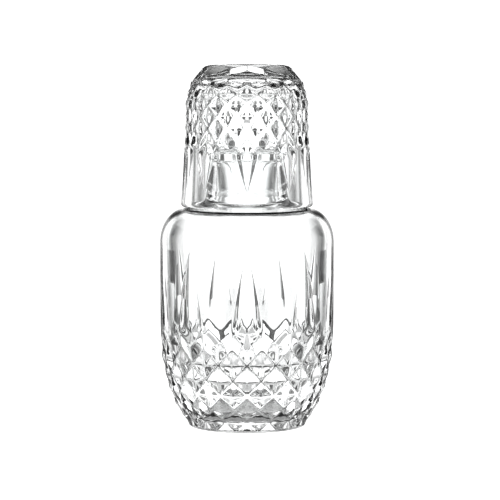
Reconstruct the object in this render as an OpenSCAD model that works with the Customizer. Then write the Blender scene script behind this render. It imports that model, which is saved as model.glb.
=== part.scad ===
// Bedside carafe in cut glass, with its tumbler turned over the neck as a lid.
// The origin is on the table, under the middle of the carafe. Up is +Z.

/* [Carafe body] */
// Diameter of the straight side
body_d = 98; // [92:1:106]
// Diameter that the heel curve would have at the table
foot_d = 64; // [58:1:70]
// Height where the heel curve meets the straight side
heel_h = 52; // [48:1:56]
// Height where the straight side ends and the shoulder starts
side_h = 104.5; // [100:0.5:112]
// How far the shoulder curve comes in
shoulder_in = 16; // [14:0.5:18]
// How far the shoulder curve rises
shoulder_rise = 19.5; // [17:0.5:22]
// Radius of the hollow curve between shoulder and neck
neck_blend = 5; // [3:0.5:7]
// Rounding between the foot ring and the heel
foot_round = 1.2; // [0.8:0.1:1.8]
// Width of the flat ring that the carafe stands on
foot_ring = 4.5; // [3:0.5:6]
// Depth of the hollow under the base
base_hollow = 2.5; // [1:0.5:3]

/* [Carafe glass] */
// Wall at the end of the heel curve, under the cuts
wall_low = 4; // [3.4:0.1:5]
// Wall where the shoulder starts
wall_high = 2.7; // [2.2:0.1:3.4]
// Height of the inside floor at its middle
floor_h = 7; // [5.5:0.5:9]
// How much further the inside heel curve comes in than the outside one
inner_heel_more = 1; // [0:0.5:3]

/* [Carafe neck] */
// Height of the mouth above the table
mouth_h = 156.7; // [150:0.1:164]
// Diameter of the neck just under the lip
neck_d = 39.6; // [38.6:0.1:42]
// Diameter of the neck where it meets the shoulder
neck_low_d = 47.2; // [44:0.1:50]
// Diameter of the bore through the neck
bore_d = 35; // [31:0.5:36]
// Outer diameter of the lip
lip_d = 45; // [43.5:0.5:48]
// Height of the flared lip
lip_h = 7.2; // [6:0.1:9]
// Rounding of the lip, outside
lip_round = 1.9; // [1.2:0.1:2.2]
// Rounding of the mouth, inside the lip
mouth_round = 1.3; // [0.9:0.1:1.5]

/* [Tumbler] */
// Height of the tumbler
tumbler_h = 79.9; // [74:0.1:88]
// Outer diameter of the rim
rim_d = 74.6; // [72:0.1:78]
// Outer diameter at its waist, where its heel curve starts
waist_d = 70; // [68:0.1:72]
// Inner diameter at the rim
rim_bore_d = 64.4; // [62:0.1:66]
// Inner diameter at the waist
waist_bore_d = 61.2; // [58:0.1:62]
// Rounding of the rim, outside and inside
rim_round = 1.6; // [1:0.1:2]
// Thickness of the base
base_t = 9.1; // [7:0.1:11]
// Rounding inside, between wall and base
inner_round = 12.3; // [9:0.1:14]
// How far the tumbler's heel curve comes in
tumbler_heel_in = 16.5; // [14:0.5:18]
// How far along the tumbler its heel curve runs
tumbler_heel_rise = 24.4; // [21:0.1:27]
// Depth of the dish in the tumbler's base
dish_depth = 1; // [0.5:0.1:1.5]
// Radius of the dish in the tumbler's base
dish_r = 14; // [11:0.5:15]
// Gap between the rim and the shoulder that it stands on
seat_gap = 0.25; // [0.15:0.05:0.4]

/* [Cut pattern] */
// Number of diamonds round each piece, two for each spear
diamonds = 18; // [14:2:22]
// Height of the upper points of the carafe's diamond band
band_h = 57.5; // [54:0.5:61]
// Distance between the carafe's diamond rows, along the wall
carafe_pitch = 9.1; // [8.2:0.1:10]
// Depth of the carafe's cuts
carafe_cut = 1.6; // [1.1:0.1:2]
// How far below the shoulder the tips of the carafe's spears end
spear_below = 1.8; // [1:0.1:6]
// Height above the rim where the tumbler's diamond band starts
tumbler_band_h = 31.65; // [29:0.05:34]
// Distance between the tumbler's diamond rows, along the wall
tumbler_pitch = 6.55; // [6:0.05:7.2]
// Depth of the tumbler's cuts
tumbler_cut = 1.4; // [1:0.1:1.7]
// Length of a spear on the tumbler, from its widest place to its tip
tumbler_spear = 23; // [20:0.5:25]
// Smooth wall left between the carafe's last cuts and the table
foot_band = 2.2; // [1.8:0.1:3]
// Smooth edge left round the tumbler's base, measured along the wall
base_band = 4.5; // [3.5:0.5:6]
// Length of wall kept for the panels above the tumbler's diamonds, with that edge
panel_room = 15; // [12:0.5:16]
// Depth of the panels where they meet the diamonds
panel_cut = 1.5; // [1.2:0.1:1.8]

/* [Hidden] */
$fn = 96;

glass_colour = [0.86, 0.93, 0.95, 0.45];

// Rise of the seat under the rim, for each unit inwards
seat_slope_share = 0.25;
// Reach of the heel curve's ellipse below its top, as a share of its height
heel_reach_share = 1.115;
// How far a cut runs on past the wall, as a share of the way out to the wall
overrun_share = 1.25;
// Part of a diamond's half width and of a row that a spear fills, so that a thin land stays
spear_fill_share = 0.95;
// Points of the first row of diamonds stand this share of the cut's depth outside the wall,
// and are trimmed by it. The others stop short of it by the second share.
trim_share = 0.1;
relief_share = 0.075;
// Least run of the last row, as a share of a row
last_row_share = 0.18;
// How far a band that meets panels runs on past its last points, as a share of the cut's depth
close_share = 0.25;

// Steps of one curve of an outline, and of the wall line that the rows are measured along
curve_steps = 14;
round_steps = 6;
wall_steps = 48;
// Places each side of the middle of the rim's round where its gap to the shoulder is measured
rest_steps = 33;

body_r = body_d / 2;
foot_r = foot_d / 2;
bore_r = bore_d / 2;
neck_r = neck_d / 2;
lip_r = lip_d / 2;
rim_r = rim_d / 2;
waist_r = waist_d / 2;
rim_bore_r = rim_bore_d / 2;
waist_bore_r = waist_bore_d / 2;
shoulder_r = body_r - shoulder_in;
inner_heel_in = body_r - foot_r + inner_heel_more;
neck_top = mouth_h - lip_h;

columns = 2 * diamonds;
column_angle = 360 / columns;
// A spear of each piece faces the front, which is -Y
front_turn = -90;
// Room round a piece that a cut may fill
outside = body_r / 16;

function unit(v) = v / norm(v);

// The points of the round between the lines a to b and b to c
function round_at(a, b, c, r, steps = round_steps) =
    let (u = unit(a - b), v = unit(c - b), half = acos(u * v) / 2,
         centre = b + unit(u + v) * r / sin(half),
         first = b + u * r / tan(half) - centre,
         last = b + v * r / tan(half) - centre,
         start = atan2(first[1], first[0]),
         turn = atan2(last[1], last[0]) - start,
         sweep = turn > 180 ? turn - 360 : turn < -180 ? turn + 360 : turn)
    [for (i = [0:steps]) centre + r * [cos(start + sweep * i / steps), sin(start + sweep * i / steps)]];

// The points of an ellipse's arc between two angles
function arc_points(centre, a, b, from, to, steps = curve_steps) =
    [for (i = [0:steps])
        let (angle = from + (to - from) * i / steps) centre + [a * cos(angle), b * sin(angle)]];

// The angle on an ellipse where its slope is that of the seat
function seat_angle(a, b) = atan2(b, a * seat_slope_share);

// The place on a path, a given way from its start, with the wall's outward direction
function along(path, way, side, i = 1) =
    let (step = path[i] - path[i - 1], size = norm(step))
    way > size && i < len(path) - 1
        ? along(path, way - size, side, i + 1)
        : [path[i - 1] + step * way / size, side * [step[1], -step[0]] / size];

function path_length(path) =
    len(path) < 2 ? 0 : norm(path[1] - path[0])
        + path_length([for (i = [1:len(path) - 1]) path[i]]);

function turned(p, angle) = [p[0] * cos(angle), p[0] * sin(angle), p[1]];

// Radius of the carafe's outside from the table to the shoulder
heel_reach = heel_h * heel_reach_share;
heel_in = (body_r - foot_r) / (1 - sqrt(1 - pow(heel_h / heel_reach, 2)));
function carafe_wall_r(z) =
    z >= heel_h ? body_r : body_r - heel_in * (1 - sqrt(1 - pow((heel_h - z) / heel_reach, 2)));

// Radius of the tumbler's outside and inside from its rim to its waist
waist_h = tumbler_h - tumbler_heel_rise;
function flared(h, waist, rim) = waist + (rim - waist) * pow(max(0, waist_h - h) / waist_h, 2);

// The line of the seat, which the shoulder runs into
outer_angle = seat_angle(shoulder_in, shoulder_rise);
seat_start = [shoulder_r + shoulder_in * cos(outer_angle), side_h + shoulder_rise * sin(outer_angle)];
function seat_z(r) = seat_start[1] + seat_slope_share * (seat_start[0] - r);

// Height of the shoulder at a radius: its curve, and inside that the seat
function shoulder_z(r) = r < seat_start[0]
    ? seat_z(r)
    : side_h + shoulder_rise * sqrt(max(0, 1 - pow((r - shoulder_r) / shoulder_in, 2)));

// The rounds of the rim come down until the nearer one is the gap away from the shoulder
rim_z = max([for (centre = [rim_bore_r + rim_round, rim_r - rim_round], i = [-rest_steps:rest_steps])
    let (reach = rim_round + seat_gap, aside = reach * i / rest_steps)
        shoulder_z(centre + aside) + sqrt(pow(reach, 2) - pow(aside, 2)) - rim_round]);

// The carafe's outside from the middle of its base to the top of its lip
function carafe_outside() =
    let (ring_r = carafe_wall_r(foot_round) - foot_round,
         hollow_r = ring_r - foot_ring,
         neck_foot = [neck_low_d / 2, seat_z(neck_low_d / 2)])
    concat(
        [for (i = [0:curve_steps])
            let (share = i / curve_steps) [hollow_r * share, base_hollow * (1 - share * share)]],
        arc_points([ring_r, foot_round], foot_round, foot_round, -90, 0, round_steps),
        [for (i = [1:2 * curve_steps])
            let (z = foot_round + (heel_h - foot_round) * i / (2 * curve_steps)) [carafe_wall_r(z), z]],
        arc_points([shoulder_r, side_h], shoulder_in, shoulder_rise, 0, outer_angle),
        round_at(seat_start, neck_foot, [neck_r, neck_top], neck_blend),
        [[neck_r, neck_top]],
        round_at([neck_r, neck_top], [lip_r, mouth_h - lip_round], [lip_r, mouth_h], lip_round / 2),
        round_at([lip_r, neck_top], [lip_r, mouth_h], [bore_r, mouth_h], lip_round)
    );

// The carafe's inside from its mouth to the middle of its floor
function carafe_inside() =
    let (in = shoulder_in - wall_high, rise = shoulder_rise - wall_high,
         angle = seat_angle(in, rise),
         start = [shoulder_r + in * cos(angle), side_h + rise * sin(angle)],
         bore_foot = [bore_r, start[1] + seat_slope_share * (start[0] - bore_r)],
         low_r = body_r - wall_low)
    concat(
        round_at([lip_r, mouth_h], [bore_r, mouth_h], bore_foot, mouth_round),
        round_at([bore_r, mouth_h], bore_foot, start, neck_blend),
        arc_points([shoulder_r, side_h], in, rise, angle, 0),
        arc_points([low_r - inner_heel_in, heel_h], inner_heel_in, heel_h - floor_h, 0, -90),
        [[0, floor_h]]
    );

// The tumbler's section, turned over: its rim is at the bottom
function tumbler_section() =
    let (floor_z = tumbler_h - base_t, centre_r = waist_r - tumbler_heel_in,
         inner_rim = [rim_bore_r, 0], outer_rim = [rim_r, 0],
         sides = [for (i = [2:curve_steps]) waist_h * i / curve_steps])
    concat(
        round_at([rim_bore_r, waist_h], inner_rim, outer_rim, rim_round),
        round_at(inner_rim, outer_rim, [rim_r, waist_h], rim_round),
        [for (h = sides) [flared(h, waist_r, rim_r), h]],
        arc_points([centre_r, waist_h], tumbler_heel_in, tumbler_heel_rise, 0, 90),
        [for (i = [0:curve_steps])
            let (share = 1 - i / curve_steps)
                [dish_r * share, tumbler_h - dish_depth * (1 - share * share)]],
        [[0, floor_z]],
        round_at([0, floor_z], [waist_bore_r, floor_z], [waist_bore_r, 0], inner_round, curve_steps),
        [for (i = [1:len(sides)])
            let (h = sides[len(sides) - i])
                if (h < floor_z - inner_round) [flared(h, waist_bore_r, rim_bore_r), h]]
    );

// The wall that each band of diamonds is laid along, from the spears' end of the band
carafe_path = [for (i = [0:wall_steps])
    let (z = band_h * (1 - i / wall_steps)) [carafe_wall_r(z), z]];
tumbler_path = concat(
    [for (i = [0:wall_steps - 1])
        let (h = tumbler_band_h + (waist_h - tumbler_band_h) * i / wall_steps)
            [flared(h, waist_r, rim_r), h]],
    arc_points([waist_r - tumbler_heel_in, waist_h], tumbler_heel_in, tumbler_heel_rise, 0, 90, wall_steps)
);

// Everything outside a band of diamonds. Each diamond is a low pyramid, and its four corners are
// at the full depth. side is 1 for a path that climbs and -1 for one that goes down.
module diamond_band(path, side, pitch, cut, rows, end_way, end_z) {
    widest = max([for (p = path) p[0]]);
    function low(k, j) = (k + j) % 2 == 1;
    function row_point(k, j) =
        let (at = along(path, k < rows ? pitch * (k + 1) : end_way, side),
             in = k == rows ? -cut * (overrun_share - 1)
                : (low(k, j) ? 1 : k == 0 ? -trim_share : relief_share) * cut * at[0][0] / widest)
        turned(at[0] - in * at[1], j * column_angle);
    // The upper point of each half diamond, carried on past the wall from the corner below it
    function tip(j) =
        let (corner = row_point(0, j))
        corner + (turned(path[0], j * column_angle) - corner) * overrun_share;
    // A point at the same angle and a given height, beyond the wall
    function far(p, z) =
        let (share = (widest + outside) / norm([p[0], p[1]])) [p[0] * share, p[1] * share, z];
    edge = [for (j = [0:columns - 1]) j % 2 == 1 ? tip(j) : row_point(0, j)];
    points = concat(
        [for (j = [1:2:columns - 1]) tip(j)],
        [for (k = [0:rows], j = [0:columns - 1]) row_point(k, j)],
        [for (p = edge) far(p, p[2])],
        [for (p = edge) far(p, end_z)]
    );
    function at_row(k, j) = diamonds + k * columns + (j + columns) % columns;
    function at_edge(j) = j % 2 == 1 ? ((j + columns) % columns - 1) / 2 : at_row(0, j);
    function quad(a, b, c, d) = [[a, b, c], [a, c, d]];
    function band(k, next, j) = quad(at_row(k, j), at_row(next, j), at_row(next, j + 1), at_row(k, j + 1));
    faces = [each
        for (j = [0:columns - 1]) concat(
            [each for (k = [0:rows - 1])
                low(k, j)
                    ? quad(at_row(k, j), at_row(k, j + 1), at_row(k + 1, j + 1), at_row(k + 1, j))
                    : quad(at_row(k, j + 1), at_row(k + 1, j + 1), at_row(k + 1, j), at_row(k, j))],
            j % 2 == 1
                ? [[at_edge(j), at_row(0, j + 1), at_row(0, j)], [at_edge(j), at_row(0, j), at_row(0, j - 1)]]
                : [],
            quad(at_edge(j), at_row(rows + 1, j), at_row(rows + 1, j + 1), at_edge(j + 1)),
            band(rows + 1, rows + 2, j),
            band(rows + 2, rows, j)
        )];
    polyhedron(points, side > 0 ? faces : [for (f = faces) [f[0], f[2], f[1]]]);
}

// What one spear takes away: a long hollow with a valley down its middle, two long sides and
// two short ones. tip, wide and end are places on the wall.
module spear(tip, wide, end, cut) {
    deep = [wide[0] - cut, wide[1]];
    half = column_angle * spear_fill_share;
    low_point = turned(deep, 0);
    function out(p) = low_point + (p - low_point) * overrun_share;
    points = [
        low_point,
        out(turned(tip, 0)),
        out(turned(wide, half)),
        out(turned(end, 0)),
        out(turned(wide, -half)),
        turned([wide[0] + outside, wide[1]], 0)
    ];
    flip = tip[1] > end[1];
    faces = [for (i = [0:3])
        let (a = 1 + i, b = 1 + (i + 1) % 4) each [[0, a, b], [5, b, a]]];
    polyhedron(points, flip ? [for (f = faces) [f[0], f[2], f[1]]] : faces);
}

// What one panel takes away: the heel curve outside a flat face. low and top are places on that
// face, and out is the wall's outward direction at its low end.
module panel(low, top, out) {
    beyond = low + (top - low) * overrun_share;
    rotate([90, 0, 0])
        linear_extrude(2 * waist_r * tan(2 * column_angle), center = true)
            polygon([low, beyond, [rim_r + outside, beyond[1]], low + out * 2 * outside]);
}

module carafe_cuts() {
    end_way = path_length(carafe_path) - foot_band;
    rows = floor(end_way / carafe_pitch - last_row_share);
    diamond_band(carafe_path, -1, carafe_pitch, carafe_cut, rows, end_way, foot_band);
    end = along(carafe_path, carafe_pitch * spear_fill_share, -1)[0];
    for (i = [0:2:diamonds - 1])
        rotate(i * 2 * column_angle)
            spear([body_r, side_h - spear_below], [carafe_wall_r(band_h), band_h], end, carafe_cut);
}

module tumbler_cuts() {
    whole = path_length(tumbler_path);
    rows = floor((whole - panel_room) / tumbler_pitch);
    last = rows * tumbler_pitch;
    diamond_band(tumbler_path, 1, tumbler_pitch, tumbler_cut, rows, last + tumbler_cut * close_share,
        tumbler_h + outside);
    low = along(tumbler_path, last - tumbler_cut * trim_share, 1);
    top = along(tumbler_path, whole - base_band, 1)[0];
    end = along(tumbler_path, tumbler_pitch * spear_fill_share, 1)[0];
    tip_h = tumbler_band_h - tumbler_spear;
    for (i = [0:2:diamonds - 1])
        rotate(i * 2 * column_angle) {
            spear([flared(tip_h, waist_r, rim_r), tip_h], tumbler_path[0], end, tumbler_cut);
            panel(low[0] - panel_cut * low[1], top, low[1]);
        }
}

module carafe() {
    color(glass_colour)
        difference() {
            rotate_extrude()
                polygon(concat(carafe_outside(), carafe_inside()));
            rotate(front_turn)
                carafe_cuts();
        }
}

module tumbler() {
    color(glass_colour)
        translate([0, 0, rim_z])
            difference() {
                rotate_extrude()
                    polygon(tumbler_section());
                rotate(front_turn)
                    tumbler_cuts();
            }
}

carafe();
tumbler();
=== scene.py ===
"""Bedside carafe in cut glass with its tumbler turned over the neck, on a pale floor.

Both pieces are made as one slice of 40 degrees: a spear in its middle, two diamonds across. The cut
place of every point of the slice is kept on the mesh, and a node tree sinks the cuts, repeats the
slice round the axis, welds it and eases its edges.
"""
import math

import bpy
import numpy as np
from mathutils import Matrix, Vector


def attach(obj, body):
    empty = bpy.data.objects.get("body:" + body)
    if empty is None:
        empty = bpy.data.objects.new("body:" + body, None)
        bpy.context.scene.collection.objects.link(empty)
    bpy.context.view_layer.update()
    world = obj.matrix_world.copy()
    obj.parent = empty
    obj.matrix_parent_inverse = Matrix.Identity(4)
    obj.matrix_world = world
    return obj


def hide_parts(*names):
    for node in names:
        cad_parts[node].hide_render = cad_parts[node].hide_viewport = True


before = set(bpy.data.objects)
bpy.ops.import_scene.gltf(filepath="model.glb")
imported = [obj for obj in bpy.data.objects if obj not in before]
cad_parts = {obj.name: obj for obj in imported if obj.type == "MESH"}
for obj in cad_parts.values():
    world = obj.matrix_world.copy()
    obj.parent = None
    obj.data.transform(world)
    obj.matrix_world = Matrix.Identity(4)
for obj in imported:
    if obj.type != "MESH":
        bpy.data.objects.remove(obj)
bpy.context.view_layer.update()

bl_info = {
    "name": "Bedside carafe with tumbler",
    "version": (1, 0, 0),
    "blender": (4, 5, 0),
    "location": "3D View > Sidebar > Carafe",
    "description": "Makes a cut glass carafe, its tumbler and a plain studio round them",
    "category": "Add Mesh",
}

# Divisions of one curve of an outline, of one round of an edge, of a dish and of the wall's path
CURVE_STEPS = 28
ROUND_STEPS = 8
DISH_STEPS = 14
PATH_STEPS = 400
# Divisions of one column and one row of the diamonds, and of a short row of diamonds at least
CELL_STEPS = 10
LEAST_STEPS = 2
# Divisions along a spear, a panel, the smooth edge beyond it, the carafe's foot and the tumbler's
# plain wall outside and inside
SPEAR_STEPS = 26
PANEL_STEPS = 26
EDGE_STEPS = 5
FOOT_STEPS = 3
OUTSIDE_STEPS = 7
INSIDE_STEPS = 39
# Part of a row of a panel's points that lie on its flat face
PANEL_SHARE = 0.7
# Part of a spear, from its widest place, over which its faces turn from swollen to hollow
SPEAR_BLEND = 0.12
# How closely the points across a spear crowd at its edges, 1 for evenly
EDGE_CROWD = 1.7
# How far across its facet a spear's edge is looked for, as a share of half its widest place
SPEAR_REACH = 1.3
# Columns in half a slice, each as wide as half a diamond
HALF_COLUMNS = 2
# Least run of the last row of diamonds, as a share of a row
LAST_ROW_SHARE = 0.18
# Points closer than this are one, and shares closer than the other one are equal
WELD = 1e-6
NEAR = 1e-9
# Halvings in the search for a place on the wall, and places tried across the tumbler's rim
HALVINGS = 40
RIM_PLACES = 401

# Panels of light round the glass, and a turn that keeps every direction's angle above 0
LIGHT_PANELS = 8
EXTRA_TURN = 4 * math.pi
# Sides of the round table and of the rings of light
CIRCLE_SIDES = 128
# How far the table lies under the carafe's foot, and where the camera's view starts
TABLE_GAP = 0.00001
VIEW_START = 0.05
# The table's own colour is dark grey; its brightness is a glow, which is painted light
TABLE_GREY = 0.06
TABLE_ROUGHNESS = 0.9


def size(name, description, default):
    """A property that holds a length in metres."""
    return bpy.props.FloatProperty(
        name=name, description=description, default=default, min=0, precision=5, unit="LENGTH")


def light(name, description, default):
    """A property that holds a brightness."""
    return bpy.props.FloatProperty(name=name, description=description, default=default, min=0)


def turn(name, description, degrees):
    """A property that holds an angle."""
    return bpy.props.FloatProperty(
        name=name, description=description, default=math.radians(degrees), subtype="ANGLE")


class CarafeSizes(bpy.types.PropertyGroup):
    """Sizes of the carafe."""
    body_d: size("Body", "Diameter of the straight side", 0.098)
    foot_d: size("Foot", "Diameter that the heel curve would have at the table", 0.064)
    heel_h: size("Heel height", "Where the heel curve meets the straight side", 0.052)
    side_h: size("Side height", "Where the straight side ends", 0.1045)
    shoulder_in: size("Shoulder in", "How far the shoulder comes in", 0.016)
    shoulder_rise: size("Shoulder rise", "How far the shoulder rises", 0.0195)
    neck_blend: size("Neck blend", "Radius between shoulder and neck", 0.005)
    foot_round: size("Foot round", "Rounding between foot ring and heel", 0.0012)
    foot_ring: size("Foot ring", "Width of the ring that the carafe stands on", 0.0045)
    base_hollow: size("Base hollow", "Depth of the hollow under the base", 0.0025)
    wall_low: size("Lower wall", "Wall at the end of the heel curve", 0.004)
    wall_high: size("Upper wall", "Wall where the shoulder starts", 0.0027)
    floor_h: size("Floor", "Height of the inside floor", 0.007)
    inner_heel_more: size("Inner heel", "How much further the inside heel comes in", 0.001)
    mouth_h: size("Mouth height", "Height of the mouth above the table", 0.1567)
    neck_d: size("Neck", "Diameter of the neck under the lip", 0.0396)
    neck_low_d: size("Neck foot", "Diameter of the neck at the shoulder", 0.0472)
    bore_d: size("Bore", "Diameter of the bore through the neck", 0.035)
    lip_d: size("Lip", "Outer diameter of the lip", 0.045)
    lip_h: size("Lip height", "Height of the flared lip", 0.0072)
    lip_round: size("Lip round", "Rounding of the lip, outside", 0.0019)
    mouth_round: size("Mouth round", "Rounding of the mouth, inside", 0.0013)
    band_h: size("Band height", "Height of the upper points of the diamond band", 0.0575)
    pitch: size("Row", "Distance between rows of diamonds, along the wall", 0.0091)
    cut: size("Cut", "Depth of the cuts", 0.0016)
    spear_below: size("Spear end", "How far below the shoulder the spears end", 0.0018)
    foot_band: size("Foot band", "Smooth wall between the last cuts and the table", 0.0022)


class TumblerSizes(bpy.types.PropertyGroup):
    """Sizes of the tumbler."""
    height: size("Height", "Height of the tumbler", 0.0799)
    rim_d: size("Rim", "Outer diameter of the rim", 0.0746)
    waist_d: size("Waist", "Outer diameter where its heel curve starts", 0.07)
    rim_bore_d: size("Rim inside", "Inner diameter at the rim", 0.0644)
    waist_bore_d: size("Waist inside", "Inner diameter at the waist", 0.0612)
    rim_round: size("Rim round", "Rounding of the rim", 0.0016)
    base_t: size("Base", "Thickness of the base", 0.0091)
    inner_round: size("Inner round", "Rounding between wall and base", 0.0123)
    heel_in: size("Heel in", "How far the heel curve comes in", 0.0165)
    heel_rise: size("Heel rise", "How far along the tumbler its heel curve runs", 0.0244)
    dish_depth: size("Dish depth", "Depth of the dish in the base", 0.001)
    dish_r: size("Dish", "Radius of the dish in the base", 0.014)
    seat_gap: size("Seat gap", "Gap between rim and shoulder", 0.00025)
    band_h: size("Band height", "Height above the rim where the diamonds start", 0.03165)
    pitch: size("Row", "Distance between rows of diamonds, along the wall", 0.00655)
    cut: size("Cut", "Depth of the cuts", 0.0014)
    spear: size("Spear", "Length of a spear from its widest place", 0.023)
    base_band: size("Base band", "Smooth edge left round the base, along the wall", 0.0045)
    panel_room: size("Panel room", "Length of wall kept for the panels with that edge", 0.015)
    panel_cut: size("Panel cut", "Depth of the panels where they meet the diamonds", 0.0015)


class CutPattern(bpy.types.PropertyGroup):
    """What the cuts of both pieces share."""
    spears: bpy.props.IntProperty(
        name="Spears", description="Number of spears round each piece", default=9, min=3, max=24)
    swell: bpy.props.FloatProperty(
        name="Swell", default=1.5, min=1, max=3,
        description="How much the carafe's diamonds steepen towards the valleys, 1 for flat faces")
    rounding: bpy.props.FloatProperty(
        name="Rounding", default=0.8, min=0, max=1, subtype="FACTOR",
        description="How round the tumbler's points and valleys are, 0 for flat faces")
    hollow: bpy.props.FloatProperty(
        name="Hollow", default=3, min=1, max=6,
        description="How much the spears' faces steepen towards their edges, 1 for flat faces")
    depth_share: bpy.props.FloatProperty(
        name="Depth share", default=1, min=0, max=1, subtype="FACTOR",
        description="How much of the full depth is cut")
    carafe_softness: bpy.props.IntProperty(
        name="Carafe softness", default=1, min=0, max=20,
        description="How often the carafe's cut edges are eased")
    tumbler_softness: bpy.props.IntProperty(
        name="Tumbler softness", default=2, min=0, max=20,
        description="How often the tumbler's cut edges are eased")


class GlassFinish(bpy.types.PropertyGroup):
    """Colour and surface of the glass."""
    tint: bpy.props.FloatVectorProperty(
        name="Tint", description="Colour that the glass gives to light", subtype="COLOR", size=3,
        min=0, max=1, default=(0.985, 0.99, 0.99))
    ior: bpy.props.FloatProperty(
        name="Index", description="Refractive index of the glass", default=1.52, min=1, max=3)
    ripple: bpy.props.FloatProperty(
        name="Ripple", description="Height of the faint ripple left by pressing", default=0.000004,
        min=0, precision=6, unit="LENGTH")
    ripple_size: size("Ripple size", "Width of one ripple", 0.012)


class StudioStage(bpy.types.PropertyGroup):
    """Camera, floor and light."""
    camera_back: size("Camera distance", "From the axis to the camera", 1.41)
    camera_h: size("Camera height", "Height of the camera", 0.221)
    aim_h: size("Aim height", "Height of the place that the camera looks at", 0.0996)
    aim_side: size("Aim side", "How far to the right of the axis it looks", 0.0017)
    lens: bpy.props.FloatProperty(
        name="Lens", description="Focal length in millimetres", default=180, min=10)
    contrast: bpy.props.FloatProperty(
        name="Contrast", description="Display gamma: below 1 the greys of the glass come out darker",
        default=0.72, min=0.1, max=2)
    white: light("White", "How bright everything lit is", 1.4)
    floor_r: size("Floor", "Radius of the round table", 0.235)
    # Painted light: the table's glow is brightest in its middle and falls off towards the outer table
    floor_near: size("Near floor", "Radius of the brightly lit middle of the table", 0.05)
    floor_fade: size("Floor fade", "Width over which its light falls off", 0.12)
    floor_far: light("Far floor", "How bright the outer table is", 0.55)
    # Painted shadow: the table's glow is dimmer under the carafe, standing in for the carafe's contact shadow
    painted_shade_r: size("Shade", "Radius of the shaded floor under the carafe", 0.034)
    painted_shade_fade: size("Shade fade", "Width over which that shade ends", 0.004)
    painted_shade: light("Shade light", "How much of the light reaches the floor under the carafe", 0.22)
    ring_r: size("Ring radius", "Radius of the ring of light panels", 0.3)
    ring_low: size("Ring low", "Height of the lower edge of the ring", 0.062)
    ring_split: size("Ring split", "Height where the ring's lower panels end", 0.15)
    ring_high: size("Ring high", "Height of the upper edge of the ring", 0.24)
    ring_half: turn("Ring panel", "Half the angle that one panel of the ring fills", 9)
    ring_fade: turn("Ring fade", "Angle over which a panel of the ring fades out", 9)
    ring_gap: light("Ring gap", "How bright the ring is between its panels", 0.1)
    lower_gap: light("Lower gap", "How bright the lower ring is between its panels", 0.16)
    edge_from: turn("Edge light", "Angle from a panel's middle where the lower ring is bright again", 17)
    strip_low: size("Strip low", "Height of the lower edge of the strip of light under the ring", 0.04)
    tent_top: turn("Tent top", "Height of the upper edge of the lit tent as an angle", -4.4)
    tent_fade: turn("Tent fade", "Angle over which the tent's light falls off above", 0.6)
    tent_half: turn("Tent panel", "Half the angle that one panel of the tent fills", 12)
    tent_side: turn("Tent side", "Angle over which a panel of the tent fades out", 6)
    tent_gap: light("Tent gap", "How bright the tent is between its panels", 0.2)
    sky_low: light("Low sky", "How bright the surroundings are just above the tent", 0.14)
    sky_mid: light("Middle sky", "How bright they are between the horizon and the overhead light", 0.02)
    sky_fade: turn("Sky fade", "Angle over which the surroundings darken upwards", 14)
    top_from: turn("Overhead light", "Height of the lower edge of the overhead light as an angle", 14)
    top_fade: turn("Overhead fade", "Angle over which the overhead light comes in", 12)
    top: light("Overhead", "How bright the overhead light is", 1.5)


# Outlines: every list of points holds radius and height

def unit(v):
    """A direction with length 1."""
    return v / np.linalg.norm(v)


def round_at(a, b, c, r, steps=ROUND_STEPS):
    """The points of the round between the lines a to b and b to c."""
    a, b, c = (np.asarray(p, float) for p in (a, b, c))
    u, v = unit(a - b), unit(c - b)
    half = math.acos(u @ v) / 2
    centre = b + unit(u + v) * r / math.sin(half)
    first = b + u * r / math.tan(half) - centre
    last = b + v * r / math.tan(half) - centre
    start = math.atan2(first[1], first[0])
    bend = (math.atan2(last[1], last[0]) - start + math.pi) % (2 * math.pi) - math.pi
    angles = start + bend * np.linspace(0, 1, steps + 1)
    return centre + r * np.stack([np.cos(angles), np.sin(angles)], 1)


def arc_points(centre, a, b, start, end, steps=CURVE_STEPS):
    """The points of an ellipse's arc between two angles, in degrees."""
    angles = np.radians(np.linspace(start, end, steps + 1))
    return np.asarray(centre) + np.stack([a * np.cos(angles), b * np.sin(angles)], 1)


def straight(a, b, steps):
    """Points between two places, without the places themselves."""
    share = np.arange(1, steps)[:, None] / steps
    return np.asarray(a) + share * (np.asarray(b) - np.asarray(a))


def hollow(r, low, rise):
    """A shallow dish from its middle to its edge, with the height of its edge and its rise inside."""
    share = np.linspace(0, 1, DISH_STEPS + 1)
    return np.stack([r * share, low + rise * (1 - share ** 2)], 1)


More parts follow.
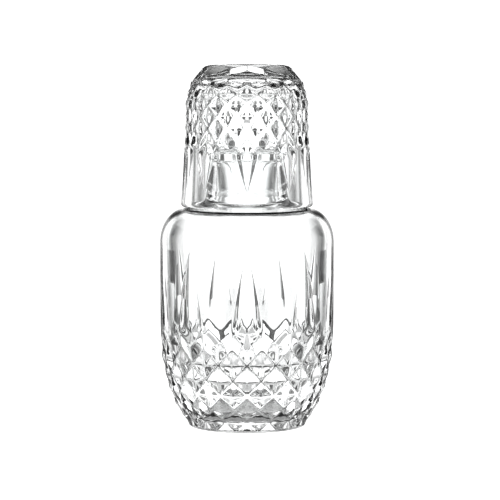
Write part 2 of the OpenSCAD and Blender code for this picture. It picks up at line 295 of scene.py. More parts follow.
class CarafeShape:
    """The carafe's outlines, worked out from its sizes."""
    panelled = False
    # How steeply the seat for the tumbler's rim rises inwards
    seat_slope = 0.25
    # How far down the ellipse of the heel curve reaches, as a share of the heel's height
    heel_reach_share = 1.115

    def __init__(self, s):
        self.s = s
        self.body_r, self.foot_r = s.body_d / 2, s.foot_d / 2
        self.shoulder_r = self.body_r - s.shoulder_in
        self.heel_reach = s.heel_h * self.heel_reach_share
        self.heel_in = (self.body_r - self.foot_r) / (1 - math.sqrt(1 - (s.heel_h / self.heel_reach) ** 2))
        self.top = math.degrees(math.atan2(s.shoulder_rise, s.shoulder_in * self.seat_slope))
        self.seat_start = arc_points((self.shoulder_r, s.side_h), s.shoulder_in, s.shoulder_rise,
                                     self.top, self.top, steps=1)[0]

    def wall_r(self, z):
        """Radius of the straight side and the heel at a height."""
        drop = np.maximum(0, self.s.heel_h - np.asarray(z)) / self.heel_reach
        return self.body_r - self.heel_in * (1 - np.sqrt(np.maximum(0, 1 - drop ** 2)))

    def shoulder_z(self, r):
        """Height of the shoulder and its seat at a radius."""
        seat = self.seat_start[1] + self.seat_slope * (self.seat_start[0] - r)
        inside = np.maximum(0, 1 - ((r - self.shoulder_r) / self.s.shoulder_in) ** 2)
        return np.where(r < self.seat_start[0], seat, self.s.side_h + self.s.shoulder_rise * np.sqrt(inside))

    def path(self):
        """The wall from the spears' end of the band down to the table."""
        z = np.linspace(self.s.band_h, 0, PATH_STEPS + 1)
        return np.stack([self.wall_r(z), z], 1)

    def face(self, share, pattern):
        """Depth of a diamond's face, as a share of its full depth."""
        return share ** pattern.swell

    def band(self, whole):
        """Rows of diamonds, and how far along the wall they end."""
        end = whole - self.s.foot_band
        return int(end / self.s.pitch - LAST_ROW_SHARE), end

    def ways(self, whole, end):
        """Places of the rows of points between the base and the diamonds, along the wall."""
        return np.linspace(whole - self.s.foot_round, end, FOOT_STEPS + 1)[1:-1]

    def base(self):
        """From the middle of the hollow base out to the foot's round."""
        s = self.s
        ring_r = self.wall_r(s.foot_round) - s.foot_round
        edge = (ring_r - s.foot_ring, 0)
        return np.vstack([
            hollow(edge[0], 0, s.base_hollow),
            straight(edge, (ring_r, 0), steps=3),
            arc_points((ring_r, s.foot_round), s.foot_round, s.foot_round, -90, 0, ROUND_STEPS),
        ])

    def upper(self):
        """From the spears' tips up over the shoulder, through the mouth and down to the floor."""
        s = self.s
        neck_foot = (s.neck_low_d / 2, float(self.shoulder_z(s.neck_low_d / 2)))
        neck_top = (s.neck_d / 2, s.mouth_h - s.lip_h)
        lip_r, bore_r = s.lip_d / 2, s.bore_d / 2
        lip_low, lip_top, mouth = (lip_r, s.mouth_h - s.lip_round), (lip_r, s.mouth_h), (bore_r, s.mouth_h)
        middle = (self.shoulder_r, s.side_h)
        inner_in, inner_rise = s.shoulder_in - s.wall_high, s.shoulder_rise - s.wall_high
        inner_top = math.degrees(math.atan2(inner_rise, inner_in * self.seat_slope))
        inner_shoulder = arc_points(middle, inner_in, inner_rise, inner_top, 0)
        inner_seat = inner_shoulder[0]
        bore_foot = (bore_r, inner_seat[1] + self.seat_slope * (inner_seat[0] - bore_r))
        inner_heel_in = self.body_r - self.foot_r + s.inner_heel_more
        inner_heel = arc_points((self.body_r - s.wall_low - inner_heel_in, s.heel_h), inner_heel_in,
                                s.heel_h - s.floor_h, 0, -90, 2 * CURVE_STEPS)
        blend = round_at(self.seat_start, neck_foot, neck_top, s.neck_blend)
        flare = round_at(neck_top, lip_low, lip_top, s.lip_round / 2)
        bore_top = round_at(lip_top, mouth, bore_foot, s.mouth_round)
        bore_end = round_at(mouth, bore_foot, inner_seat, s.neck_blend)
        return np.vstack([
            arc_points(middle, s.shoulder_in, s.shoulder_rise, 0, self.top),
            straight(self.seat_start, blend[0], steps=4), blend,
            straight(blend[-1], neck_top, steps=8), [neck_top],
            straight(neck_top, flare[0], steps=3), flare,
            straight(flare[-1], lip_low, steps=2),
            round_at((lip_r, neck_top[1]), lip_top, mouth, s.lip_round), bore_top,
            straight(bore_top[-1], bore_end[0], steps=8), bore_end,
            straight(bore_end[-1], inner_shoulder[0], steps=4), inner_shoulder,
            straight(inner_shoulder[-1], inner_heel[0], steps=16), inner_heel,
            straight(inner_heel[-1], (0, s.floor_h), steps=10), [(0, s.floor_h)],
        ])


class TumblerShape:
    """The tumbler's outlines, turned over, with its rim at height 0."""
    panelled = True

    def __init__(self, s):
        self.s = s
        self.waist_r, self.rim_r = s.waist_d / 2, s.rim_d / 2
        self.waist_h = s.height - s.heel_rise

    def flared(self, h, waist, rim):
        """Radius at a height of a wall that flares from the waist to the rim."""
        return waist + (rim - waist) * (np.maximum(0, self.waist_h - np.asarray(h)) / self.waist_h) ** 2

    def wall_r(self, h):
        """Outer radius at a height above the rim."""
        rise = np.maximum(0, np.asarray(h) - self.waist_h) / self.s.heel_rise
        side = self.flared(h, self.waist_r, self.rim_r)
        return side - self.s.heel_in * (1 - np.sqrt(np.maximum(0, 1 - rise ** 2)))

    def path(self):
        """The wall from the spears' end of the band up round the heel to the base."""
        s = self.s
        h = np.linspace(s.band_h, self.waist_h, PATH_STEPS // 2, endpoint=False)
        side = np.stack([self.flared(h, self.waist_r, self.rim_r), h], 1)
        heel = arc_points((self.waist_r - s.heel_in, self.waist_h), s.heel_in, s.heel_rise, 0, 90, PATH_STEPS)
        return np.vstack([side, heel])

    def face(self, share, pattern):
        """Depth of a diamond's face, as a share of its full depth."""
        return share + pattern.rounding * (share ** 2 * (3 - 2 * share) - share)

    def band(self, whole):
        """Rows of diamonds, and how far along the wall they end."""
        rows = int((whole - self.s.panel_room) / self.s.pitch)
        return rows, rows * self.s.pitch

    def ways(self, whole, end):
        """Places of the rows of points between the base and the diamonds, along the wall. They are closest
        at the panels' rounded tops."""
        top = whole - self.s.base_band
        down = np.linspace(0, 1, PANEL_STEPS + 1)[1:] ** 2
        return np.concatenate([np.linspace(whole, top, EDGE_STEPS + 1)[1:], top - down * (top - end)])

    def panel(self, path, whole):
        """The low and the top end of a panel's face."""
        place, out = along(path, self.band(whole)[1])
        return place - self.s.panel_cut * out, along(path, whole - self.s.base_band)[0]

    def base(self):
        """From the middle of the dish in the base out to the heel's end."""
        s = self.s
        dish = hollow(s.dish_r, s.height, -s.dish_depth)
        return np.vstack([dish, straight(dish[-1], (self.waist_r - s.heel_in, s.height), steps=5)])

    def upper(self):
        """From the spears' tips to the rim, and up inside to the floor."""
        s = self.s
        floor_h, bore_r, waist_bore_r = s.height - s.base_t, s.rim_bore_d / 2, s.waist_bore_d / 2
        outer = round_at((self.rim_r, self.waist_h), (self.rim_r, 0), (0, 0), s.rim_round)
        inner = round_at((self.rim_r, 0), (bore_r, 0), (bore_r, self.waist_h), s.rim_round)
        corner = round_at((waist_bore_r, 0), (waist_bore_r, floor_h), (0, floor_h), s.inner_round,
                          CURVE_STEPS)
        down = np.linspace(s.band_h - s.spear, s.rim_round, OUTSIDE_STEPS + 1)[1:-1]
        up = np.linspace(s.rim_round, corner[0][1], INSIDE_STEPS + 1)[1:-1]
        # The rim's rounds end on the flared walls
        outer_shift = self.flared(s.rim_round, self.waist_r, self.rim_r) - self.rim_r
        inner_shift = self.flared(s.rim_round, waist_bore_r, bore_r) - bore_r
        outer[:, 0] += outer_shift * np.linspace(1, 0, len(outer))
        inner[:, 0] += inner_shift * np.linspace(0, 1, len(inner))
        return np.vstack([
            np.stack([self.flared(down, self.waist_r, self.rim_r), down], 1),
            outer, straight(outer[-1], inner[0], steps=2), inner,
            np.stack([self.flared(up, waist_bore_r, bore_r), up], 1),
            corner, straight(corner[-1], (0, floor_h), steps=8), [(0, floor_h)],
        ])


# One slice of a cut piece, laid out in rows from the middle of its base to the middle of its floor

def along(path, way):
    """Radius, height and outward direction of the wall, a given way along a path."""
    steps = np.diff(path, axis=0)
    lengths = np.linalg.norm(steps, axis=1)
    total = np.concatenate([[0], np.cumsum(lengths)])
    place = np.array([np.interp(way, total, path[:, i]) for i in (0, 1)])
    i = min(max(int(np.searchsorted(total, way, side="right")) - 1, 0), len(steps) - 1)
    ahead = steps[i] / lengths[i]
    side = 1 if path[-1][1] > path[0][1] else -1
    return place, side * np.array([ahead[1], -ahead[0]])


def turned(p, angle):
    """The place of a radius and a height, turned round the axis."""
    return np.array([p[0] * math.cos(angle), p[0] * math.sin(angle), p[1]])


def reach_wall(place, wall_r, low, high):
    """The value between low and high where the point that place gives lies on the wall."""
    for _ in range(HALVINGS):
        middle = (low + high) / 2
        p = place(middle)
        low, high = (middle, high) if math.hypot(p[0], p[1]) < wall_r(p[2]) else (low, middle)
    return low


class Slice:
    """Rows of points of one slice. Each point has its place on the plain wall, its cut place and
    how much its edges may be eased."""

    def __init__(self, shape, pattern, tip_z):
        self.shape, self.pattern, self.tip_z = shape, pattern, tip_z
        self.pitch, self.cut = shape.s.pitch, shape.s.cut
        self.column = math.pi / (pattern.spears * HALF_COLUMNS)
        self.path = shape.path()
        self.whole = float(np.linalg.norm(np.diff(self.path, axis=0), axis=1).sum())
        self.rows, self.end = shape.band(self.whole)
        self.plain, self.placed, self.eased, self.faces = [], [], [], []
        self.last = None

    def corner(self, k, j):
        """A corner of the diamonds' net: the last row lies on the wall, and so do the diamonds' points."""
        if k >= self.rows:
            return turned(along(self.path, self.end)[0], j * self.column)
        place, out = along(self.path, self.pitch * (k + 1))
        depth = self.cut * place[0] / self.path[:, 0].max() if (k + j) % 2 == 1 else 0
        return turned(place - depth * out, j * self.column)

    def swollen(self, p, share, out):
        """A place on a diamond's flat face, moved out so that the face is steepest at the valley. share
        runs from 0 at the diamond's point to 1 in the valley."""
        depth = self.cut * math.hypot(p[0], p[1]) / self.path[:, 0].max()
        aside = math.atan2(p[1], p[0])
        return p + depth * (share - self.shape.face(share, self.pattern)) * turned(out, aside)

    def band_row(self, k, b):
        """Half a row between the rows k and k + 1 of the diamonds, at the share b of the way."""
        way_a = self.pitch * (k + 1)
        way_b = self.end if k + 1 >= self.rows else way_a + self.pitch
        wall, out = along(self.path, way_a + b * (way_b - way_a))
        next_low = 0 if k + 1 >= self.rows else 1
        plain, cut = [], []
        for i in range(HALF_COLUMNS * CELL_STEPS + 1):
            j = min(i // CELL_STEPS, HALF_COLUMNS - 1)
            a = i / CELL_STEPS - j
            p00, p01 = self.corner(k, j), self.corner(k, j + 1)
            p10, p11 = self.corner(k + 1, j), self.corner(k + 1, j + 1)
            if (k + j) % 2 == 1:
                deep = 1 - max(a, b) + next_low * min(a, b)
                if b <= a:
                    p = p00 + a * (p01 - p00) + b * (p11 - p01)
                else:
                    p = p00 + b * (p10 - p00) + a * (p11 - p10)
            elif a + b <= 1:
                deep = a + next_low * b
                p = p00 + a * (p01 - p00) + b * (p10 - p00)
            else:
                deep = 1 - b + next_low * (1 - a)
                p = p11 + (1 - a) * (p10 - p11) + (1 - b) * (p01 - p11)
            plain.append(turned(wall, (j + a) * self.column))
            cut.append(self.swollen(p, min(deep, 1), out))
        return plain, cut, [1.0] * len(cut)

    def first_row(self, b):
        """Half a row between the spears' widest place and the first row of diamonds."""
        wall, out = along(self.path, self.pitch * b)
        start = self.path[0]
        low = turned((start[0] - self.cut, start[1]), 0)
        wide = turned(start, self.column)
        end, deep, beside = self.corner(0, 0), self.corner(0, 1), self.corner(0, 2)
        plain, cut, eased = [], [], []

        def facet(a):
            return wide + b * (deep - wide) + a * (beside - deep)

        edge_a = reach_wall(facet, self.shape.wall_r, b, min(1, 2 * b)) if 0 < b < 1 else b
        edge = facet(edge_a)
        edge_angle = math.atan2(edge[1], edge[0])
        for i in range(HALF_COLUMNS * CELL_STEPS + 1):
            u = i / CELL_STEPS
            plain.append(turned(wall, u * self.column))
            if u + b <= 1:
                cut.append(self.swollen(low + u * (wide - low) + b * (end - low), 1 - u - b, out))
            elif u <= 1:
                cut.append(self.swollen(wide + b * (deep - wide) + (1 - u) * (end - deep), u + b - 1, out))
            elif u - 1 <= b:
                a = (u - 1) / b * edge_a
                cut.append(self.swollen(facet(a), max(0, b - a), out))
            else:
                beyond = (u - 1 - b) / (1 - b)
                angle = edge_angle + beyond * (HALF_COLUMNS * self.column - edge_angle)
                z = edge[2] + beyond * (wall[1] - edge[2])
                cut.append(turned((float(self.shape.wall_r(z)), z), angle))
                plain[-1] = cut[-1]
            eased.append(1.0 if u - 1 <= b + NEAR else 0.0)
        return plain, cut, eased

    def spear_row(self, share):
        """Half a row across a spear, at a share of the way from its widest place to its tip."""
        start, n = self.path[0], CELL_STEPS
        low = turned((start[0] - self.cut, start[1]), 0)
        up = turned((float(self.shape.wall_r(self.tip_z)), self.tip_z), 0) - low
        across = turned(start, self.column) - low

        def facet(b):
            return low + share * up + b * across

        edge_b = reach_wall(facet, self.shape.wall_r, 0, SPEAR_REACH)
        edge = facet(edge_b)
        edge_angle = math.atan2(edge[1], edge[0])
        blend = min(1, share / SPEAR_BLEND)
        cut = []
        for i in range(n + 1):
            aside = (1 - blend) * i / n + blend * (1 - (1 - i / n) ** EDGE_CROWD)
            flat = facet(edge_b * aside)
            swollen, hollowed = self.shape.face(1 - aside, self.pattern), 1 - aside ** self.pattern.hollow
            face = (1 - blend) * swollen + blend * hollowed
            inward = -turned((1, 0), math.atan2(flat[1], flat[0]))
            cut.append(flat + self.cut * (1 - share) * (face - (1 - aside)) * inward)
        wall = float(self.shape.wall_r(edge[2]))
        plain = [turned((wall, edge[2]), math.atan2(p[1], p[0])) for p in cut]
        rest = [turned((wall, edge[2]), edge_angle + i / n * (HALF_COLUMNS * self.column - edge_angle))
                for i in range(1, n + 1)]
        return plain + rest, cut + rest, [1.0] * (n + 1) + [0.0] * n

    def panel_row(self, way, low, top):
        """Half a row of the heel curve across a flat panel. low and top are the ends of the panel's face."""
        wall = along(self.path, way)[0]
        face_r = low[0] + (wall[1] - low[1]) * (top[0] - low[0]) / (top[1] - low[1])
        half = HALF_COLUMNS * self.column
        edge = min(half, math.acos(min(1, face_r / wall[0])))
        cells = HALF_COLUMNS * CELL_STEPS
        inside = round(cells * PANEL_SHARE)
        plain, cut = [], []
        for i in range(cells + 1):
            on_face = i <= inside
            angle = edge * i / inside if on_face else edge + (half - edge) * (i - inside) / (cells - inside)
            plain.append(turned(wall, angle))
            flat = on_face and edge > 0
            cut.append(turned((face_r / math.cos(angle), wall[1]), angle) if flat else plain[-1])
        return plain, cut, [1.0] * len(plain)

    def plain_row(self, point, cells):
        """Half a row of the uncut wall."""
        places = [turned(point, HALF_COLUMNS * self.column * i / cells) for i in range(cells + 1)]
        return places, places, [0.0] * len(places)

    def add_point(self, plain, cut, eased):
        self.plain.append(plain)
        self.placed.append(cut)
        self.eased.append(eased)

    def add_row(self, row):
        """Adds a half row and its mirror image, and gives back the numbers of its points. A row at the
        axis is one point."""
        plain, cut, eased = row
        first = len(self.plain)
        if max(abs(p[0]) for p in plain) < WELD:
            self.add_point(plain[0], cut[0], 0.0)
            return [first]
        flip = np.array([1, -1, 1])
        for i in range(len(plain) - 1, 0, -1):
            self.add_point(plain[i] * flip, cut[i] * flip, eased[i])
        for point in zip(plain, cut, eased):
            self.add_point(*point)
        return list(range(first, len(self.plain)))

    def add_face(self, *points):
        """Adds a face, without points that it holds twice."""
        kept = [p for i, p in enumerate(points) if p != points[i - 1]]
        if len(set(kept)) > 2:
            self.faces.append(kept)

    def join(self, a, b, k=None):
        """Faces between two rows. In the diamonds' row k the quads are split along the diamonds' faces."""
        count = max(len(a), len(b))
        first, second = ([r[min(i, len(r) - 1)] for i in range(count)] for r in (a, b))
        for i in range(count - 1):
            if k is None:
                self.add_face(first[i], second[i], second[i + 1], first[i + 1])
            elif self.splits(k, i):
                self.add_face(first[i], second[i + 1], first[i + 1])
                self.add_face(first[i], second[i], second[i + 1])
            else:
                self.add_face(first[i], second[i], first[i + 1])
                self.add_face(first[i + 1], second[i], second[i + 1])

    def splits(self, k, i):
        """Whether column i of the quads in the diamonds' row k is split from the first row's lower
        number to the second row's higher one. The rows are laid from the higher k down."""
        middle = HALF_COLUMNS * CELL_STEPS
        j = abs(i - middle + 0.5) // CELL_STEPS
        return ((k + j) % 2 == 1) != (i >= middle)

    def lay(self, row, k=None):
        """Adds a row and joins it to the one before."""
        points = self.add_row(row)
        if self.last:
            self.join(self.last, points, k)
        self.last = points

    def build(self):
        """All rows and faces of the slice, from the middle of the base to the middle of the floor."""
        n, half = CELL_STEPS, HALF_COLUMNS * CELL_STEPS
        for point in self.shape.base():
            self.lay(self.plain_row(point, half))
        for way in self.shape.ways(self.whole, self.end):
            if self.shape.panelled:
                self.lay(self.panel_row(way, *self.shape.panel(self.path, self.whole)))
            else:
                self.lay(self.plain_row(along(self.path, way)[0], half))
        # The carafe's last row of diamonds is cut short, and the tumbler's is whole
        first = self.rows - (2 if self.shape.panelled else 1)
        last_run = self.end / self.pitch - self.rows
        for k in range(first, -1, -1):
            steps = n if k < self.rows - 1 else max(LEAST_STEPS, round(n * last_run))
            for b in np.linspace(1, 0, steps + 1)[(1 if k < first else 0):]:
                self.lay(self.band_row(k, float(b)), k)
        for b in np.linspace(1, 0, n + 1)[1:]:
            self.lay(self.first_row(float(b)), 0)
        for share in np.linspace(0, 1, SPEAR_STEPS + 1)[1:-1]:
            self.lay(self.spear_row(float(share)))
        # The spear's whole width meets in the middle point of the row at its tip
        tip = self.add_row(self.plain_row((float(self.shape.wall_r(self.tip_z)), self.tip_z), n))
        self.join(self.last, tip[:n] + [tip[n]] * (2 * n + 1) + tip[n + 1:])
        self.last = tip
        for point in self.shape.upper():
            self.lay(self.plain_row(point, n))

    def mesh(self, name, lift):
        """The slice as a mesh on its plain wall, with its cut places and easing kept on its points."""
        up = np.array([0, 0, lift])
        plain, placed = np.array(self.plain) + up, np.array(self.placed) + up
        p = plain[np.array([f[:3] for f in self.faces])]
        inside_out = np.einsum("ij,ij->", p[:, 0], np.cross(p[:, 1], p[:, 2])) < 0
        faces = [f[::-1] for f in self.faces] if inside_out else self.faces
        mesh = bpy.data.meshes.new(name)
        mesh.from_pydata(plain.tolist(), [], faces)
        mesh.attributes.new("cut_place", "FLOAT_VECTOR", "POINT").data.foreach_set("vector", placed.ravel())
        mesh.attributes.new("easing", "FLOAT", "POINT").data.foreach_set("value", self.eased)
        return mesh


# Node trees

class Wiring:
    """Short ways to build a node tree."""

    def __init__(self, tree):
        self.tree = tree
        tree.nodes.clear()

    def node(self, kind, **values):
        made = self.tree.nodes.new(kind)
        for key, value in values.items():
            setattr(made, key, value)
        return made

    def join(self, source, socket):
        self.tree.links.new(source, socket)

    def result(self, kind, **inputs):
        """The first output of a node whose inputs are linked by name."""
        made = self.node(kind)
        for key, source in inputs.items():
            self.join(source, made.inputs[key])
        return made.outputs[0]

    def math(self, operation, *values):
        made = self.node("ShaderNodeMath", operation=operation)
        for i, value in enumerate(values):
            if isinstance(value, bpy.types.NodeSocket):
                self.join(value, made.inputs[i])
            else:
                made.inputs[i].default_value = value
        return made.outputs[0]

    def fade(self, value, start, width, first=1, last=0):
        """Goes softly from the first value to the last one, over a width from a start."""
        made = self.node("ShaderNodeMapRange", interpolation_type="SMOOTHSTEP")
        self.join(value, made.inputs["Value"])
        given = {"From Min": start, "From Max": start + width, "To Min": first, "To Max": last}
        for name, number in given.items():
            made.inputs[name].default_value = number
        return made.outputs["Result"]

    def place(self, output):
        """The three parts of the place or direction that is being shaded."""
        split = self.node("ShaderNodeSeparateXYZ")
        self.join(self.node("ShaderNodeTexCoord").outputs[output], split.inputs[0])
        return split.outputs

    def aside(self, place):
        """The angle from a place to the middle of the nearest panel of light."""
        azimuth = self.math("ADD", self.math("ARCTAN2", place["Y"], place["X"]), EXTRA_TURN)
        return self.math("PINGPONG", azimuth, math.pi / LIGHT_PANELS)

    def white_to_camera(self, light_here, stage):
        """The light at a place, but white wherever the camera looks at it without glass between."""
        seen = self.node("ShaderNodeLightPath").outputs["Is Camera Ray"]
        return self.math("MAXIMUM", light_here, self.math("MULTIPLY", seen, stage.white))


def cut_glass_tree():
    """Sinks the cuts into one slice, repeats it round the axis, welds it and eases its cut edges."""
    tree = bpy.data.node_groups.new("Cut glass", "GeometryNodeTree")
    w = Wiring(tree)
    for name, kind, default in (
            ("Slice", "NodeSocketGeometry", None), ("Copies", "NodeSocketInt", 9),
            ("Depth share", "NodeSocketFloat", 1.0), ("Edge easing", "NodeSocketInt", 1),
            ("First turn", "NodeSocketFloat", 0.0), ("Weld distance", "NodeSocketFloat", WELD),
            ("Glass", "NodeSocketMaterial", None)):
        socket = tree.interface.new_socket(name, in_out="INPUT", socket_type=kind)
        if default is not None:
            socket.default_value = default
    tree.interface.new_socket("Piece", in_out="OUTPUT", socket_type="NodeSocketGeometry")
    given = w.node("NodeGroupInput").outputs

    # Every point goes from the plain wall towards its cut place
    place = w.node("GeometryNodeInputPosition").outputs[0]
    cut_place = w.node("GeometryNodeInputNamedAttribute", data_type="FLOAT_VECTOR")
    cut_place.inputs["Name"].default_value = "cut_place"
    sink = w.node("ShaderNodeMix", data_type="VECTOR")
    factor, plain, cut = (socket for socket in sink.inputs if socket.enabled)
    w.join(given["Depth share"], factor)
    w.join(place, plain)
    w.join(cut_place.outputs["Attribute"], cut)
    sunk = next(socket for socket in sink.outputs if socket.enabled)
    cut_slice = w.result("GeometryNodeSetPosition", Geometry=given["Slice"], Position=sunk)

    # The slice is repeated round the axis
    step = w.math("DIVIDE", 2 * math.pi, given["Copies"])
    index = w.node("GeometryNodeInputIndex").outputs[0]
    turned_by = w.node("FunctionNodeAxisAngleToRotation")
    turned_by.inputs["Axis"].default_value = (0, 0, 1)
    w.join(w.math("MULTIPLY_ADD", index, step, given["First turn"]), turned_by.inputs["Angle"])
    copies = w.result("GeometryNodeInstanceOnPoints", Instance=cut_slice, Rotation=turned_by.outputs[0],
                     Points=w.result("GeometryNodePoints", Count=given["Copies"]))
    real = w.result("GeometryNodeRealizeInstances", Geometry=copies)
    welded = w.result("GeometryNodeMergeByDistance", Geometry=real, Distance=given["Weld distance"])

    # The cut edges are eased, and the rest stays where it is
    easing = w.node("GeometryNodeInputNamedAttribute", data_type="FLOAT")
    easing.inputs["Name"].default_value = "easing"
    soft = w.node("GeometryNodeBlurAttribute", data_type="FLOAT_VECTOR")
    w.join(place, next(socket for socket in soft.inputs if socket.enabled and socket.name == "Value"))
    w.join(given["Edge easing"], soft.inputs["Iterations"])
    w.join(easing.outputs["Attribute"], soft.inputs["Weight"])
    eased_place = next(socket for socket in soft.outputs if socket.enabled)
    eased = w.result("GeometryNodeSetPosition", Geometry=welded, Position=eased_place)
    smooth = w.result("GeometryNodeSetShadeSmooth", Geometry=eased)
    plain_mesh = w.result("GeometryNodeRealizeInstances", Geometry=smooth)
    glazed = w.result("GeometryNodeSetMaterial", Geometry=plain_mesh, Material=given["Glass"])
    w.join(glazed, w.node("NodeGroupOutput").inputs[0])
    return tree


def run_tree(mesh, name, tree, values):
    """Runs a node tree on a mesh with its inputs set by name, and gives back a plain object."""
    source = bpy.data.objects.new(name + "_source", mesh)
    bpy.context.scene.collection.objects.link(source)
    modifier = source.modifiers.new("Cut glass", "NODES")
    modifier.node_group = tree
    ids = {i.name: i.identifier for i in tree.interface.items_tree if i.in_out == "INPUT"}
    for key, value in values.items():
        modifier[ids[key]] = value
    graph = bpy.context.evaluated_depsgraph_get()
    made = bpy.data.meshes.new_from_object(source.evaluated_get(graph))
    source.modifiers.remove(modifier)
    bpy.data.objects.remove(source)
    for extra in [a.name for a in made.attributes if a.name in ("cut_place", "easing")]:
        made.attributes.remove(made.attributes[extra])
    made.name = name
    piece = bpy.data.objects.new(name, made)
    bpy.context.scene.collection.objects.link(piece)
    if len(made.polygons) == 0:
        raise RuntimeError(name + " came out of its node tree empty")
    return piece


def clear_glass(name, finish):
    """Clear glass with a faint ripple left by the mould."""
    material = bpy.data.materials.new(name)
    material.use_nodes = True
    nodes, links = material.node_tree.nodes, material.node_tree.links
    shader = nodes["Principled BSDF"]
    shader.inputs["Base Color"].default_value = (*finish.tint, 1)
    shader.inputs["Roughness"].default_value = 0
    shader.inputs["IOR"].default_value = finish.ior
    shader.inputs["Transmission Weight"].default_value = 1
    place = nodes.new("ShaderNodeTexCoord")
    ripple = nodes.new("ShaderNodeTexNoise")
    ripple.inputs["Scale"].default_value = 1 / finish.ripple_size
    ripple.inputs["Detail"].default_value = 1
    bump = nodes.new("ShaderNodeBump")
    bump.inputs["Strength"].default_value = 1
    bump.inputs["Distance"].default_value = finish.ripple
    links.new(place.outputs["Object"], ripple.inputs["Vector"])
    links.new(ripple.outputs["Fac"], bump.inputs["Height"])
    links.new(bump.outputs["Normal"], shader.inputs["Normal"])
    return material


# Operators

def make_piece(name, body, node, slot, shape, tip_z, lift, softness):
    """Makes one glass piece in place of its CAD node."""
    pattern, finish = bpy.context.scene.cut_pattern, bpy.context.scene.glass_finish
    part = Slice(shape, pattern, tip_z)
    part.build()
    tree = bpy.data.node_groups.get("Cut glass") or cut_glass_tree()
    piece = run_tree(part.mesh(name + "_slice", lift), name, tree, {
        "Copies": pattern.spears, "Depth share": pattern.depth_share, "Edge easing": softness,
        "First turn": -math.pi / 2, "Weld distance": WELD, "Glass": clear_glass(slot, finish)})
    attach(piece, body)
    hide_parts(node)
    return piece


class GLASS_OT_carafe(bpy.types.Operator):
    """Make the carafe"""
    bl_idname = "glass.carafe"
    bl_label = "Carafe"

    def execute(self, context):
        sizes = context.scene.carafe_sizes
        make_piece("carafe_glass_body", "carafe", "carafe", "carafe_glass", CarafeShape(sizes),
                   sizes.side_h - sizes.spear_below, 0, context.scene.cut_pattern.carafe_softness)
        return {"FINISHED"}


class GLASS_OT_tumbler(bpy.types.Operator):
    """Make the tumbler, standing on the carafe's shoulder"""
    bl_idname = "glass.tumbler"
    bl_label = "Tumbler"

    def execute(self, context):
        sizes, carafe = context.scene.tumbler_sizes, CarafeShape(context.scene.carafe_sizes)
        # The rim's two rounds come down on the shoulder, and the one that meets it first holds it up
        reach = sizes.rim_round + sizes.seat_gap
        aside = np.linspace(-reach, reach, RIM_PLACES)
        arc = np.sqrt(np.maximum(0, reach ** 2 - aside ** 2))
        rests = [float((carafe.shoulder_z(r + aside) + arc).max())
                 for r in (sizes.rim_bore_d / 2 + sizes.rim_round, sizes.rim_d / 2 - sizes.rim_round)]
        make_piece("tumbler_glass_body", "tumbler", "tumbler", "tumbler_glass", TumblerShape(sizes),
                   sizes.band_h - sizes.spear, max(rests) - sizes.rim_round,
                   context.scene.cut_pattern.tumbler_softness)
        return {"FINISHED"}


# The studio

def studio_world(stage):
    """A light tent of eight panels below the horizon, dim surroundings above it and a light overhead."""
    world = bpy.data.worlds.new("Light tent")
    world.use_nodes = True
    w = Wiring(world.node_tree)
    way = w.place("Generated")
    height = w.math("ARCSINE", way["Z"])
    panel = w.fade(w.aside(way), stage.tent_half, stage.tent_side, stage.white, stage.tent_gap)
    sky = w.math("ADD", w.fade(height, stage.tent_top, stage.sky_fade, stage.sky_low, stage.sky_mid),
                 w.fade(height, stage.top_from, stage.top_fade, 0, stage.top))
    low = w.fade(height, stage.tent_top, stage.tent_fade)
    light_here = w.math("ADD", w.math("MULTIPLY", panel, low),
                        w.math("MULTIPLY", sky, w.math("SUBTRACT", 1, low)))
    glow = w.result("ShaderNodeBackground", Strength=w.white_to_camera(light_here, stage))
    w.join(glow, w.node("ShaderNodeOutputWorld").inputs["Surface"])
    return world


def floor_material(stage):
    """A pale table whose glow is painted light: bright in its middle, dimmer outwards, and with a painted
    shadow under the carafe.
    """
    material = bpy.data.materials.new("Pale table")
    material.use_nodes = True
    w = Wiring(material.node_tree)
    place = w.place("Object")
    x, y = place["X"], place["Y"]
    away = w.math("SQRT", w.math("ADD", w.math("MULTIPLY", x, x), w.math("MULTIPLY", y, y)))
    # Painted light and shade: the glow is bright in the middle, dimmer outwards and dimmest under the carafe,
    # as a painted shadow
    light_here = w.math("MULTIPLY",
                        w.fade(away, stage.floor_near, stage.floor_fade, stage.white, stage.floor_far),
                        w.fade(away, stage.painted_shade_r, stage.painted_shade_fade, stage.painted_shade, 1))
    shader = w.node("ShaderNodeBsdfPrincipled")
    shader.inputs["Base Color"].default_value = (TABLE_GREY, TABLE_GREY, TABLE_GREY, 1)
    shader.inputs["Roughness"].default_value = TABLE_ROUGHNESS
    shader.inputs["Emission Color"].default_value = (1, 1, 1, 1)
    w.join(w.white_to_camera(light_here, stage), shader.inputs["Emission Strength"])
    w.join(shader.outputs[0], w.node("ShaderNodeOutputMaterial").inputs["Surface"])
    return material


def ring_material(stage, edge_light):
    """Eight soft panels round the ring, and with an edge light, narrow ones between them."""
    material = bpy.data.materials.new("Ring light")
    material.use_nodes = True
    w = Wiring(material.node_tree)
    aside = w.aside(w.place("Object"))
    gap = stage.lower_gap if edge_light else stage.ring_gap
    shine = w.fade(aside, stage.ring_half, stage.ring_fade, stage.white, gap)
    if edge_light:
        shine = w.math("ADD", shine, w.fade(aside, stage.edge_from, stage.ring_fade, 0, stage.white))
    glow = w.result("ShaderNodeEmission", Strength=shine)
    w.join(glow, w.node("ShaderNodeOutputMaterial").inputs["Surface"])
    return material


def stage_piece(name, points, faces, material):
    """A mesh that belongs to the studio."""
    mesh = bpy.data.meshes.new(name)
    mesh.from_pydata(points, [], faces)
    mesh.materials.append(material)
    piece = bpy.data.objects.new(name, mesh)
    bpy.context.scene.collection.objects.link(piece)
    return piece


def circle(r, z):
    """The corners of a level circle round the axis."""
    angles = [2 * math.pi * i / CIRCLE_SIDES for i in range(CIRCLE_SIDES)]
    return [(r * math.cos(a), r * math.sin(a), z) for a in angles]


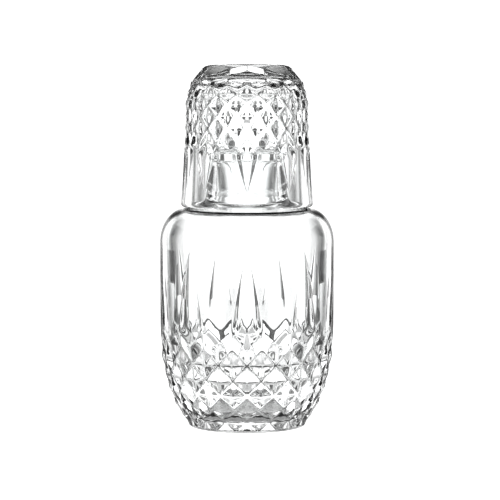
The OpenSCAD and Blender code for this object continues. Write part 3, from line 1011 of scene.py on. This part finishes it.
def light_ring(name, stage, low, high, edge_light=False):
    """A ring of light panels round the glass, which the camera doesn't see."""
    after = [(i + 1) % CIRCLE_SIDES for i in range(CIRCLE_SIDES)]
    faces = [(i, j, CIRCLE_SIDES + j, CIRCLE_SIDES + i) for i, j in enumerate(after)]
    ring = stage_piece(name, circle(stage.ring_r, low) + circle(stage.ring_r, high), faces,
                       ring_material(stage, edge_light))
    ring.visible_camera = False


def stage_camera(stage):
    """The camera, at the photo's angle."""
    lens = bpy.data.cameras.new("camera")
    lens.lens = stage.lens
    lens.clip_start = VIEW_START
    camera = bpy.data.objects.new("camera", lens)
    camera.location = (0, -stage.camera_back, stage.camera_h)
    aim = Vector((stage.aim_side, 0, stage.aim_h)) - camera.location
    camera.rotation_euler = aim.to_track_quat("-Z", "Y").to_euler()
    return camera


class GLASS_OT_stage(bpy.types.Operator):
    """Make the table, the lights and the camera"""
    bl_idname = "glass.stage"
    bl_label = "Stage"

    def execute(self, context):
        scene, stage = context.scene, context.scene.studio_stage
        stage_piece("floor", circle(stage.floor_r, -TABLE_GAP), [list(range(CIRCLE_SIDES))],
                    floor_material(stage))
        light_ring("ring", stage, stage.ring_split, stage.ring_high)
        light_ring("lower_ring", stage, stage.ring_low, stage.ring_split, edge_light=True)
        light_ring("strip", stage, stage.strip_low, stage.ring_low)
        scene.world = studio_world(stage)
        scene.view_settings.view_transform = "Standard"
        scene.view_settings.gamma = stage.contrast
        scene.camera = stage_camera(stage)
        scene.collection.objects.link(scene.camera)
        return {"FINISHED"}


class GLASS_PT_panel(bpy.types.Panel):
    """Sizes and makers of the carafe set"""
    bl_label = "Carafe and tumbler"
    bl_idname = "GLASS_PT_panel"
    bl_space_type = "VIEW_3D"
    bl_region_type = "UI"
    bl_category = "Carafe"

    def draw(self, context):
        for group, name in GROUPS.items():
            box = self.layout.box()
            box.label(text=group.__doc__)
            for value in group.__annotations__:
                box.prop(getattr(context.scene, name), value)
        for maker in MAKERS:
            self.layout.operator(maker.bl_idname)


GROUPS = {CarafeSizes: "carafe_sizes", TumblerSizes: "tumbler_sizes", CutPattern: "cut_pattern",
          GlassFinish: "glass_finish", StudioStage: "studio_stage"}
MAKERS = (GLASS_OT_stage, GLASS_OT_carafe, GLASS_OT_tumbler)


def register():
    for group, name in GROUPS.items():
        bpy.utils.register_class(group)
        setattr(bpy.types.Scene, name, bpy.props.PointerProperty(type=group))
    for shown in (*MAKERS, GLASS_PT_panel):
        bpy.utils.register_class(shown)


def unregister():
    for shown in (GLASS_PT_panel, *reversed(MAKERS)):
        bpy.utils.unregister_class(shown)
    for group, name in reversed(GROUPS.items()):
        delattr(bpy.types.Scene, name)
        bpy.utils.unregister_class(group)


def main():
    """Makes the stage and both pieces."""
    register()
    bpy.ops.glass.stage()
    bpy.ops.glass.carafe()
    bpy.ops.glass.tumbler()
    bpy.context.view_layer.update()


if __name__ == "__main__":
    main()
